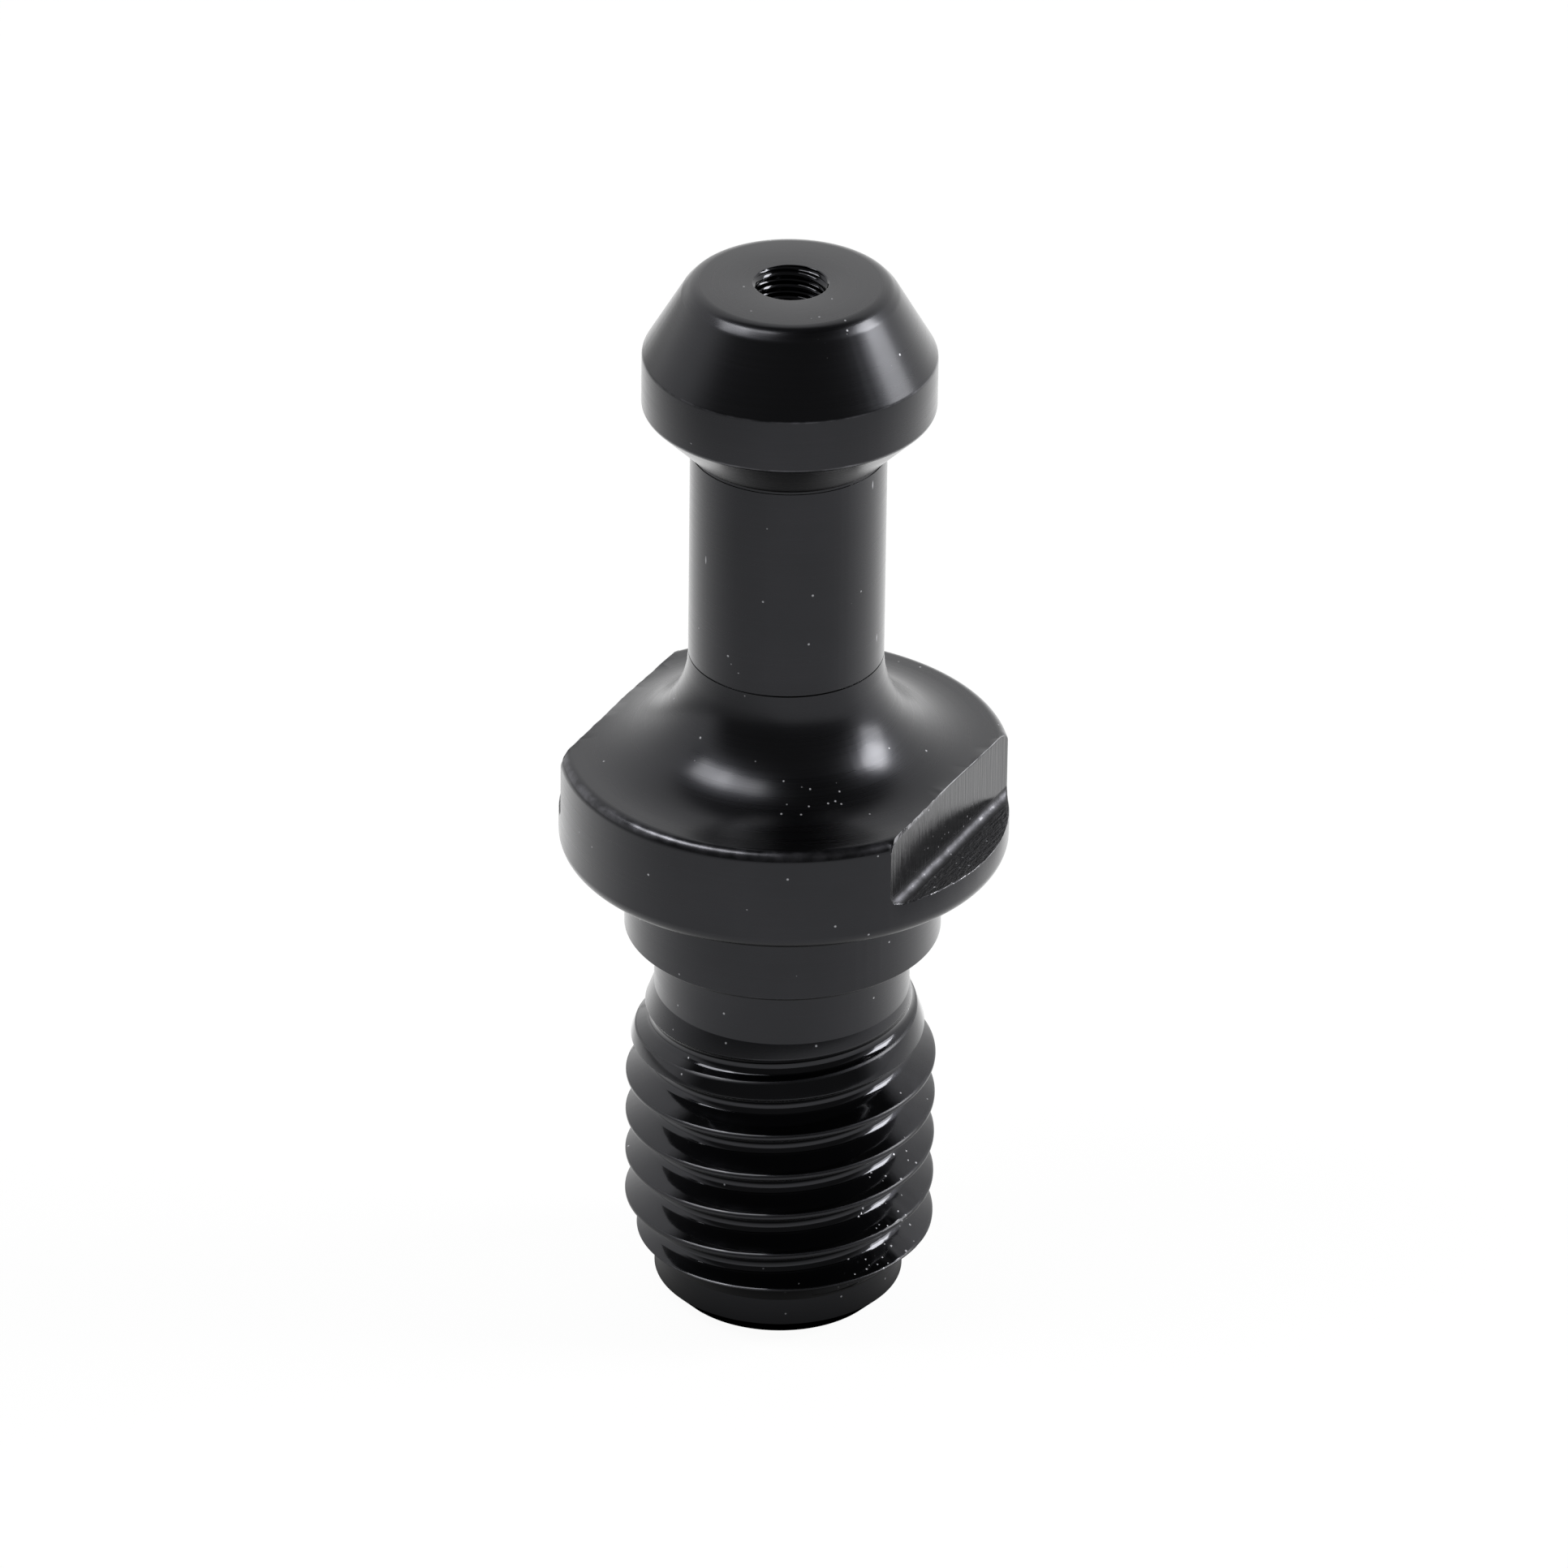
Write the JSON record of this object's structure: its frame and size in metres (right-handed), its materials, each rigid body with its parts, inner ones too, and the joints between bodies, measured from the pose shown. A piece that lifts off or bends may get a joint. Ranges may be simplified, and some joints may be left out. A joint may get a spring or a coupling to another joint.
{
  "type": "pull stud",
  "caption": "One-piece turned steel pull stud: coned gripping head on a neck, flange with two wrench flats, pilot and metric thread, finished in black oxide.",
  "frame": {"origin": "centre of the flange's underside, which seats on the end of the taper shank", "axes": "+Z along the stud towards its head, the thread towards -Z, the wrench flats facing +X and -X"},
  "size_m": [0.017, 0.017, 0.043],
  "materials": {
    "black_oxide_steel": "black oxide on turned and milled alloy steel"
  },
  "bodies": {
    "root": {"pull_stud": "black_oxide_steel"}
  },
  "joints": []
}
